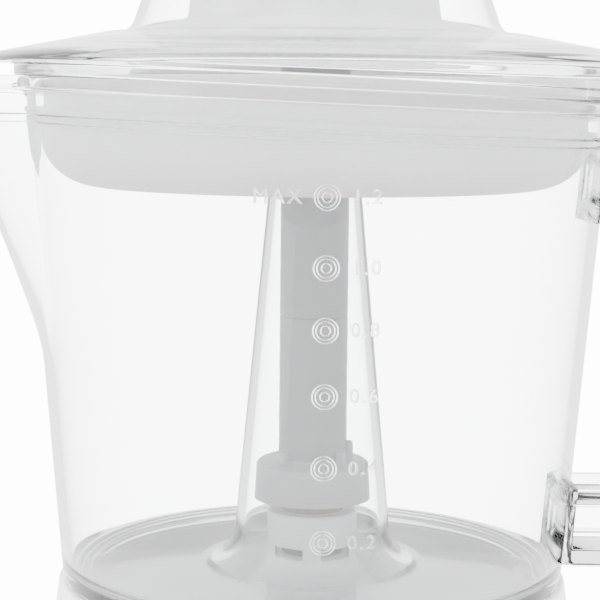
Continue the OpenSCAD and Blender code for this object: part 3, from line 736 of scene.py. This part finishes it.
body_rise = [i / 24 for i in range(25)]
crest = [(REAM_R * ogive(t), REAM_FOOT + (REAM_TIP - REAM_FOOT) * t) for t in reversed(body_rise)]
inside = [(0.70 * REAM_R * ogive(t) - 2.2, REAM_FOOT - 1.5 + (REAM_TIP - REAM_FOOT) * t)
          for t in body_rise[:17]]
reamer_outline = (
    crest + [(REAM_R + 2.0, REAM_FOOT - 1.2), (REAM_R + 6.2, REAM_FOOT - 2.2),
             (REAM_R + 10.4, REAM_FOOT - 4.0), (SKIRT_OUT - 1.2, REAM_FOOT - 6.4),
             (SKIRT_OUT, REAM_LOW + 1.4, 0.6), (SKIRT_OUT, REAM_LOW, 0.5), (SKIRT_OUT - 2, REAM_LOW, 0.5),
             (REAM_R + 9, REAM_FOOT - 6), (REAM_R + 4, REAM_FOOT - 4.0)]
    + inside + [(11.35, REAM_FOOT + 31, 1), (11.35, REAM_FOOT - 2.5, 0.5), (8.85, REAM_FOOT - 2.5, 0.3),
                (8.85, REAM_FOOT + 14, 0.3), (0, REAM_FOOT + 14)])
reamer = lathe("reamer_ribbed", reamer_outline, closed=False, steps=192, angle=50)


def press_valleys(p):
    radius = math.hypot(p.x, p.y)
    t = (p.z - REAM_FOOT) / (REAM_TIP - REAM_FOOT)
    full = REAM_R * ogive(max(0, t)) if t >= 0 else REAM_R + 6
    if t < -0.09 or radius < 0.8 * full or radius < 0.3:
        return p
    wave = (0.5 + 0.5 * math.cos(RIBS * math.atan2(p.y, p.x))) ** 1.5
    depth = 0.27 * ramp(t, -0.09, 0.06) * (1 - ramp(t, 0.86, 1.0))
    shrink = 1 - depth * (1 - wave)
    p.x, p.y = p.x * shrink, p.y * shrink
    return p


move_points(reamer, press_valleys)
turn_by = Matrix.Rotation(math.radians(11.25), 4, "Z")
reamer.data.transform(turn_by)
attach(reamer, "reamer")
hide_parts("reamer_cone")
print("reamer has", RIBS, "ribs")

# %% [markdown]
# ## Sleeve, spindle and drip collar
# The reamer's long sleeve drops over a six-sided tip on the spindle. Where they meet there is a
# fine seam. Below it, a bell-shaped collar throws drips clear of the tower. These are plain turned
# parts, so what makes them real is the small radius at each edge and the four little ribs that
# brace the collar.

# %% Drive sleeve and spindle
SLEEVE_TOP = high("drive_sleeve")[2]
WASHER_TOP = high("slip_washer")[2]
sleeve = lathe("drive_sleeve_turned", [
    (5.35, SLEEVE_LOW, 0.3), (SLEEVE_R, SLEEVE_LOW, 0.45), (SLEEVE_R, WASHER_TOP),
    (SLEEVE_R + 1.8, WASHER_TOP, 0.4), (SLEEVE_R + 1.8, WASHER_TOP + 3, 0.4), (SLEEVE_R, WASHER_TOP + 3),
    (SLEEVE_R, SLEEVE_TOP, 0.6),
    (5.35, SLEEVE_TOP, 0.3)], steps=96)
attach(sleeve, "reamer")
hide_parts("drive_sleeve")

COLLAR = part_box("drip_collar")
COLLAR_LOW = COLLAR[0][2] / MM
COLLAR_R = COLLAR[1][0] / MM
spindle = lathe("drive_spindle_turned", [
    (4, COLLAR_LOW + 1, 0.2), (SLEEVE_R, COLLAR_LOW + 1, 0.3), (SLEEVE_R, SLEEVE_LOW, 0.45),
    (4.2, SLEEVE_LOW), (4, SLEEVE_LOW - 6)], steps=96)
bpy.ops.mesh.primitive_cylinder_add(vertices=6, radius=5.2 * MM, depth=37 * MM,
                                    location=(0, 0, (SLEEVE_LOW + 17.5) * MM))
tip = bpy.context.object
edit(tip, "SELECT")
bpy.ops.mesh.bevel(offset=0.6 * MM, segments=3, affect="EDGES")
leave_edit()
spindle = settle(join([spindle, tip], "drive_spindle_turned"), 30)
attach(spindle, "spindle")
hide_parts("drive_spindle")


# %% Drip collar
def small_block(x, y, z, size, turn=0.0, edge=0.25):
    bpy.ops.object.select_all(action="DESELECT")
    bpy.ops.mesh.primitive_cube_add(size=1, location=(x * MM, y * MM, z * MM), rotation=(0, 0, turn),
                                    scale=tuple(s * MM for s in size))
    block = bpy.context.object
    bpy.ops.object.transform_apply(location=False, rotation=False, scale=True)
    edit(block, "SELECT")
    bpy.ops.mesh.bevel(offset=edge * MM, segments=2, affect="EDGES")
    leave_edit()
    return block


collar = lathe("drip_collar_turned", [
    (SLEEVE_R, COLLAR_LOW + 4.1), (12.6, COLLAR_LOW + 4.1, 1.2), (12.7, COLLAR_LOW, 0.3),
    (COLLAR_R, COLLAR_LOW, 0.4), (COLLAR_R - 0.5, COLLAR_LOW + 9.2, 0.4),
    (SLEEVE_R + 0.6, COLLAR_LOW + 10.0, 0.5), (SLEEVE_R, COLLAR_LOW + 10.6)], steps=120)
blocks = [collar]
for i in range(4):
    angle = math.radians(45 + 90 * i)
    reach = SLEEVE_R + 1.1
    blocks.append(small_block(reach * math.cos(angle), reach * math.sin(angle), COLLAR_LOW + 10.6,
                              (2.4, 1.4, 4.4), angle))
blocks.append(small_block(SLEEVE_R + 0.6, 0, COLLAR_LOW + 11.4, (2.0, 3.2, 5.6), 0, 0.5))
collar = settle(join(blocks, "drip_collar_turned"), 30)
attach(collar, "spindle")
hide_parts("drip_collar")

# %% [markdown]
# ## The base
# The base is a white bell that flares down to the table. Its deck is sunk so that the ring under
# the jug finds its place, three key blocks stop the jug from turning, and a hollow tower carries
# the spindle above the level of spilt juice. Two small windows in the tower let juice drain away.

# %% Base housing
BASE_FOOT_R = high("base_housing")[0]
DECK = SEAT - 6
HOUSING_LOW = low("base_housing")[2]
BASE_TOP_R = FOOT_R + 1.1


def bell(z):
    return BASE_TOP_R + (BASE_FOOT_R - BASE_TOP_R) * ((SEAT - z) / (SEAT - HOUSING_LOW)) ** 1.2


heights = [HOUSING_LOW + 1.5 + (SEAT - 3.5 - HOUSING_LOW) * i / 14 for i in range(15)]
base_outline = (
    [(8, TOWER_TOP, 0.5), (11.6, TOWER_TOP, 0.9), (11.4, DECK + 10, 2), (18, DECK, 3), (61.6, DECK, 1.2),
     (61.6, SEAT, 0.5), (BASE_TOP_R, SEAT, 1.4)] + [(bell(z), z) for z in reversed(heights)]
    + [(BASE_FOOT_R, HOUSING_LOW, 0.8), (BASE_FOOT_R - 2.6, HOUSING_LOW, 0.5)]
    + [(bell(z) - 2.7, z) for z in heights[:-1]] + [(60.5, DECK - 2.6, 2), (8, DECK - 2.6)])
base = lathe("base_bell", base_outline, steps=168)


# %% Windows, cord hole and key blocks
def bar(x, y, z, size):
    bpy.ops.object.select_all(action="DESELECT")
    bpy.ops.mesh.primitive_cube_add(size=1, location=(x * MM, y * MM, z * MM),
                                    scale=tuple(s * MM for s in size))
    return bpy.context.object


windows = join([bar(side * 5.85, 0, SEAT + 6.15, (7.1, 26, 3.1)) for side in (-1, 1)], "windows")
cut(base, windows)
bpy.ops.object.select_all(action="DESELECT")
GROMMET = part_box("cord_grommet")
CORD_Z = (GROMMET[0][2] + GROMMET[1][2]) / 2
bpy.ops.mesh.primitive_cylinder_add(vertices=64, radius=6 * MM, depth=30 * MM,
                                    location=(0, GROMMET[1][1], CORD_Z), rotation=(math.pi / 2, 0, 0))
cut(base, bpy.context.object)
keys = [small_block(57 * math.cos(a), 57 * math.sin(a), SEAT - 3.3, (6, 7.4, 5.2), a, 0.5)
        for a in (0, math.tau / 3, 2 * math.tau / 3)]
base = settle(join([base] + keys, "base_bell"), 32)
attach(base, "base")
print("base:", len(base.data.polygons), "faces")

# %% [markdown]
# Columns for the screws hang from the deck inside the bell. They never show unless the cover is
# off, but a casting without them couldn't be held together, so they are made with the same turned
# shape and copied round.

# %% Screw columns
COVER_TOP = low("bottom_cover")[2] + 2.5
PLATE_TOP = high("gearbox_cover")[2]
COVER_SCREWS_R, GEAR_SCREWS_R = 54, 29.5


def screw_column(name, reach, angle, foot, foot_r, top_r, edge):
    outline = [(1.5, foot, 0.2), (foot_r, foot, edge), (top_r, DECK - 2.4), (1.5, DECK - 2.4)]
    column = lathe(name, outline, steps=32)
    column.data.transform(Matrix.Translation((reach * MM * math.cos(angle), reach * MM * math.sin(angle), 0)))
    return column


columns = [screw_column(f"screw_column_{i}", COVER_SCREWS_R, math.radians(45 + 90 * i), COVER_TOP,
                        4, 4.6, 0.4) for i in range(4)]
columns += [screw_column(f"gear_column_{i}", GEAR_SCREWS_R, math.tau * i / 3, PLATE_TOP,
                         3.2, 3.8, 0.3) for i in range(3)]
base = settle(join([base] + columns, "base_bell"), 32)
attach(base, "base")
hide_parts("base_housing")

# %% [markdown]
# ## Foot ring and cord inlet
# A soft ring keeps the press from sliding. It has a groove round its sole, so that it grips at two
# lines. The cord inlet is a rubber grommet: a neck in the hole, a flange outside and one inside.

# %% Foot ring
ring_out, ring_in, ring_top = high("foot_ring")[0], high("foot_ring")[0] - 8, high("foot_ring")[2]
foot = lathe("foot_ring_soft", [
    (ring_out, 0, 0.8), (ring_out, ring_top, 0.3), (ring_in, ring_top, 0.3), (ring_in, 0, 0.8),
    (ring_in + 2.6, 0, 0.4), (ring_in + 3.2, 0.8, 0.3), (ring_out - 3.2, 0.8, 0.3),
    (ring_out - 2.6, 0, 0.4)], steps=144)
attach(foot, "base")
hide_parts("foot_ring")

# %% Grommet
wall_y = bell(CORD_Z / MM)
grommet = lathe("cord_grommet_soft", [
    (3.2, -7.0, 0.5), (7.2, -7.0, 0.6), (7.6, -5.0, 0.6), (5.95, -4.4, 0.4), (5.95, 1.6, 0.3),
    (8.2, 2.2, 0.7), (7.2, 3.6, 0.9), (5.0, 3.6, 0.8), (3.2, 3.4, 0.6)], steps=64)
grommet.data.transform(Matrix.Translation((0, wall_y * MM, CORD_Z)) @ Matrix.Rotation(-math.pi / 2, 4, "X"))
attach(grommet, "base")
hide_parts("cord_grommet")
print("grommet in the wall at", round(wall_y, 1), "mm")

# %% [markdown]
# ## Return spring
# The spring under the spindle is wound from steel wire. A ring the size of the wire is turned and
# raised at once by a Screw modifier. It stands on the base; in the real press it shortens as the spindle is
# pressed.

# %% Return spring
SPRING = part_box("return_spring")
spring_low, spring_rise = SPRING[0][2], SPRING[1][2] - SPRING[0][2]
WIRE_R, SPRING_R, SPRING_TURNS = 0.6 * MM, 4.5 * MM, 5
bpy.ops.object.select_all(action="DESELECT")
bpy.ops.mesh.primitive_circle_add(vertices=12, radius=WIRE_R, location=(SPRING_R, 0, spring_low + WIRE_R),
                                  rotation=(math.pi / 2, 0, 0))
spring = bpy.context.object
spring.name = "return_spring_wound"
bpy.ops.object.transform_apply()
wind = spring.modifiers.new("wind", "SCREW")
wind.axis = "Z"
wind.iterations = SPRING_TURNS
wind.screw_offset = (spring_rise - 2 * WIRE_R) / SPRING_TURNS
wind.steps = wind.render_steps = 28
bpy.ops.object.modifier_apply(modifier=wind.name)
edit(spring, "SELECT")
bpy.ops.mesh.fill_holes(sides=0)
leave_edit()
clean(spring)
settle(spring, 40)
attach(spring, "base")
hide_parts("return_spring")
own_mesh(spring)
print("return spring:", len(spring.data.polygons), "faces")

# %% [markdown]
# ## Shared surface effects
# Moulded plastic is never perfectly even. A shared node group gives the slow unevenness of a
# moulded skin, with a fine grain on top, and a second one gives the drawn lines of turned or rolled
# metal. Both also give a soft patch that mixes two close colours, as handling does. Each group puts
# out values only, and each material feeds them to its own shader with its own numbers.

# %% Group helpers
def new_group(name, inputs, outputs):
    group = bpy.data.node_groups.new(name, "ShaderNodeTree")
    for label, value in inputs:
        socket = group.interface.new_socket(label, in_out="INPUT", socket_type="NodeSocketFloat")
        socket.default_value = value
    for label in outputs:
        group.interface.new_socket(label, in_out="OUTPUT", socket_type="NodeSocketFloat")
    return group, group.nodes.new("NodeGroupInput"), group.nodes.new("NodeGroupOutput")


def link(tree, source, out, target, into):
    tree.links.new(source.outputs[out], target.inputs[into])


def noise(tree, detail, roughness=0.5):
    node = tree.nodes.new("ShaderNodeTexNoise")
    node.inputs["Detail"].default_value = detail
    node.inputs["Roughness"].default_value = roughness
    return node


def spread(tree, source, out, low_from, high_from):
    node = tree.nodes.new("ShaderNodeMapRange")
    node.inputs["From Min"].default_value = low_from
    node.inputs["From Max"].default_value = high_from
    link(tree, source, out, node, "Value")
    return node


# %% Moulded skin
skin, skin_in, skin_out = new_group(
    "moulded skin", [("Grain Scale", 900.0), ("Wave Scale", 40.0), ("Grain Share", 0.5), ("Smoothest", 0.2),
                     ("Roughest", 0.3)], ["Roughness", "Height", "Patch"])
coords = skin.nodes.new("ShaderNodeTexCoord")
wave, grain, patch = noise(skin, 2), noise(skin, 3, 0.6), noise(skin, 4, 0.6)
for node in (wave, grain, patch):
    link(skin, coords, "Object", node, "Vector")
link(skin, skin_in, "Wave Scale", wave, "Scale")
link(skin, skin_in, "Grain Scale", grain, "Scale")
patch.inputs["Scale"].default_value = 22
patch_spread = spread(skin, patch, "Fac", 0.35, 0.68)
rough = skin.nodes.new("ShaderNodeMapRange")
link(skin, patch_spread, "Result", rough, "Value")
link(skin, skin_in, "Smoothest", rough, "To Min")
link(skin, skin_in, "Roughest", rough, "To Max")
blend = skin.nodes.new("ShaderNodeMix")
blend.data_type = "FLOAT"
link(skin, skin_in, "Grain Share", blend, 0)
link(skin, wave, "Fac", blend, 2)
link(skin, grain, "Fac", blend, 3)
link(skin, rough, "Result", skin_out, "Roughness")
link(skin, blend, 0, skin_out, "Height")
link(skin, patch_spread, "Result", skin_out, "Patch")
print("group: moulded skin")

# %% Turned metal
turned, turned_in, turned_out = new_group(
    "turned metal", [("Line Scale", 500.0), ("Stretch", 30.0), ("Smoothest", 0.2), ("Roughest", 0.4)],
    ["Roughness", "Height", "Patch"])
coords = turned.nodes.new("ShaderNodeTexCoord")
stretch = turned.nodes.new("ShaderNodeMapping")
scale_vector = turned.nodes.new("ShaderNodeCombineXYZ")
scale_vector.inputs["X"].default_value = 1
scale_vector.inputs["Y"].default_value = 1
link(turned, turned_in, "Stretch", scale_vector, "Z")
link(turned, coords, "Object", stretch, "Vector")
link(turned, scale_vector, "Vector", stretch, "Scale")
lines, spots = noise(turned, 4, 0.7), noise(turned, 5, 0.6)
link(turned, stretch, "Vector", lines, "Vector")
link(turned, turned_in, "Line Scale", lines, "Scale")
link(turned, coords, "Object", spots, "Vector")
spots.inputs["Scale"].default_value = 120
rough = turned.nodes.new("ShaderNodeMapRange")
link(turned, lines, "Fac", rough, "Value")
link(turned, turned_in, "Smoothest", rough, "To Min")
link(turned, turned_in, "Roughest", rough, "To Max")
link(turned, rough, "Result", turned_out, "Roughness")
link(turned, lines, "Fac", turned_out, "Height")
link(turned, spots, "Fac", turned_out, "Patch")
print("group: turned metal")


# %% [markdown]
# ## Finishes
# One helper places a shared effect in a material and wires it to the shader: the roughness to
# Roughness, the height to a Bump node, and the patch to a mix of two close colours. What stays the
# same all over a piece, such as the index of refraction, is typed into the shader itself.

# %% Finish helper
def finish(name, effect, settings, light, dark, bump, depth, fixed):
    material = bpy.data.materials.new(name)
    material.use_nodes = True
    tree = material.node_tree
    shader = tree.nodes["Principled BSDF"]
    group = tree.nodes.new("ShaderNodeGroup")
    group.node_tree = effect
    for label, value in settings.items():
        group.inputs[label].default_value = value
    colour = tree.nodes.new("ShaderNodeMix")
    colour.data_type = "RGBA"
    colour.inputs[6].default_value = (*light, 1)
    colour.inputs[7].default_value = (*dark, 1)
    link(tree, group, "Patch", colour, 0)
    tree.links.new(colour.outputs[2], shader.inputs["Base Color"])
    link(tree, group, "Roughness", shader, "Roughness")
    relief = tree.nodes.new("ShaderNodeBump")
    relief.inputs["Strength"].default_value = bump
    relief.inputs["Distance"].default_value = depth
    link(tree, group, "Height", relief, "Height")
    link(tree, relief, "Normal", shader, "Normal")
    for label, value in fixed.items():
        shader.inputs[label].default_value = value
    print("finish:", name)
    return material


def skin_of(smooth, rough, grain=900.0, wave=40.0, share=0.5):
    return {"Grain Scale": grain, "Wave Scale": wave, "Grain Share": share,
            "Smoothest": smooth, "Roughest": rough}


def lines_of(smooth, rough, scale=500.0, stretch=30.0):
    return {"Line Scale": scale, "Stretch": stretch, "Smoothest": smooth, "Roughest": rough}


# %% [markdown]
# The clear plastic carries almost no colour. Its charm is in its thickness: light that runs along
# the wall leaves by the edges, so the rims look grey and the faces vanish. A very faint wave in the
# surface, the trace of the flow into the mould, keeps the reflections from looking like glass.

# %% Clear, milky and white plastics
clear = finish("clear_plastic", skin, skin_of(0.0, 0.02, 1400, 16, 0.04),
               (0.985, 0.99, 0.995), (0.97, 0.978, 0.985), 0.05, 0.0004,
               {"Transmission Weight": 1.0, "IOR": 1.49})
scale_finish = finish("frosted_scale", skin, skin_of(0.12, 0.3, 2600, 60, 0.8),
                      (0.99, 0.99, 0.99), (0.96, 0.96, 0.96), 0.3, 0.0001,
                      {"Transmission Weight": 0.85, "IOR": 1.49})
milky = finish("milky_plastic", skin, skin_of(0.34, 0.46, 2200, 50, 0.6),
               (0.93, 0.93, 0.93), (0.89, 0.89, 0.895), 0.12, 0.0002,
               {"Subsurface Weight": 0.6, "Subsurface Scale": 0.004, "IOR": 1.49,
                "Transmission Weight": 0.12})
white = finish("white_plastic", skin, skin_of(0.22, 0.36, 1800, 45, 0.55),
               (0.9, 0.9, 0.9), (0.865, 0.865, 0.87), 0.14, 0.0002,
               {"Coat Weight": 0.12, "Coat Roughness": 0.15, "Subsurface Weight": 0.08,
                "Subsurface Scale": 0.002})
# The sleeve, the spindle and the drip collar are pale plastic. Their greys below are painted shade, the shade
# they stand in inside the jug: darkest on the sleeve and spindle, lighter on the collar.
painted_shade_sleeve_plastic = finish("grey_white_plastic", skin, skin_of(0.3, 0.42, 1600, 60, 0.6),
                (0.29, 0.29, 0.295), (0.27, 0.27, 0.275), 0.16, 0.0002,
                {"Subsurface Weight": 0.1, "Subsurface Scale": 0.002})
# The collar's mid grey is painted shade too, lighter than the sleeve's.
collar_painted_shade = finish("collar_plastic_painted_shade", skin, skin_of(0.32, 0.44, 1600, 60, 0.6),
                       (0.52, 0.52, 0.525), (0.49, 0.49, 0.495), 0.16, 0.0002,
                       {"Subsurface Weight": 0.1, "Subsurface Scale": 0.002})
gear_finish = finish("gear_plastic", skin, skin_of(0.36, 0.5, 1500, 80, 0.6),
                     (0.84, 0.81, 0.7), (0.78, 0.75, 0.64), 0.2, 0.0002,
                     {"Subsurface Weight": 0.15, "Subsurface Scale": 0.002})
black = finish("black_plastic", skin, skin_of(0.45, 0.62, 2400, 60, 0.9),
               (0.035, 0.035, 0.037), (0.06, 0.06, 0.062), 0.4, 0.0002,
               {})
red = finish("red_plastic", skin, skin_of(0.35, 0.5, 2400, 60, 0.8),
             (0.5, 0.05, 0.035), (0.42, 0.04, 0.03), 0.3, 0.0002,
             {})
rubber = finish("soft_rubber", skin, skin_of(0.62, 0.82, 2600, 90, 0.85),
                (0.16, 0.16, 0.165), (0.2, 0.2, 0.205), 0.5, 0.0003,
                {"Specular IOR Level": 0.35})

# %% Metals
steel = finish("steel", turned, lines_of(0.18, 0.34),
               (0.74, 0.74, 0.75), (0.66, 0.66, 0.67), 0.12, 0.0001,
               {"Metallic": 1.0})
zinc = finish("can_steel", turned, lines_of(0.3, 0.5, 240, 4),
              (0.66, 0.67, 0.68), (0.5, 0.51, 0.53), 0.15, 0.0001,
              {"Metallic": 1.0})
copper = finish("copper_coil", turned, lines_of(0.25, 0.4, 160, 26),
                (0.72, 0.33, 0.14), (0.5, 0.2, 0.08), 0.9, 0.0006,
                {"Metallic": 0.85})
bronze = finish("bronze", turned, lines_of(0.35, 0.55, 900, 1),
                (0.62, 0.43, 0.22), (0.46, 0.31, 0.15), 0.35, 0.0002,
                {"Metallic": 1.0})
magnet = finish("magnet", turned, lines_of(0.5, 0.7, 700, 2),
                (0.1, 0.1, 0.105), (0.16, 0.16, 0.165), 0.3, 0.0002,
                {"Metallic": 0.35})

# %% Put each finish on its pieces
new_pieces = {jug: clear, handle: clear, lid: clear, scale: scale_finish, strainer: milky, reamer: white,
              sleeve: painted_shade_sleeve_plastic, spindle: painted_shade_sleeve_plastic, collar: collar_painted_shade, base: white, foot: rubber,
              grommet: rubber, spring: steel}
for piece, material in new_pieces.items():
    piece.data.materials.clear()
    piece.data.materials.append(material)
kept_nodes = {
    "bottom_cover": white, "cover_screws": steel, "motor_can": zinc, "motor_coil": copper,
    "motor_screws": steel, "gearbox_plate": white, "gearbox_cover": white, "gearbox_screws": steel,
    "idler_pin": steel,
    "upper_bush": bronze, "lower_bush": bronze, "switch_body": black, "switch_button": red,
    "thrust_plunger": black, "motor_rotor": magnet, "motor_pinion": bronze, "idler_gear": gear_finish,
    "output_gear": gear_finish, "spindle_shaft": steel, "slip_washer": gear_finish}
for node, material in kept_nodes.items():
    part = frame["nodes"][node]
    for piece_slot in part.material_slots:
        piece_slot.material = material
print(len(new_pieces), "new pieces and", len(kept_nodes), "kept nodes have their finish")
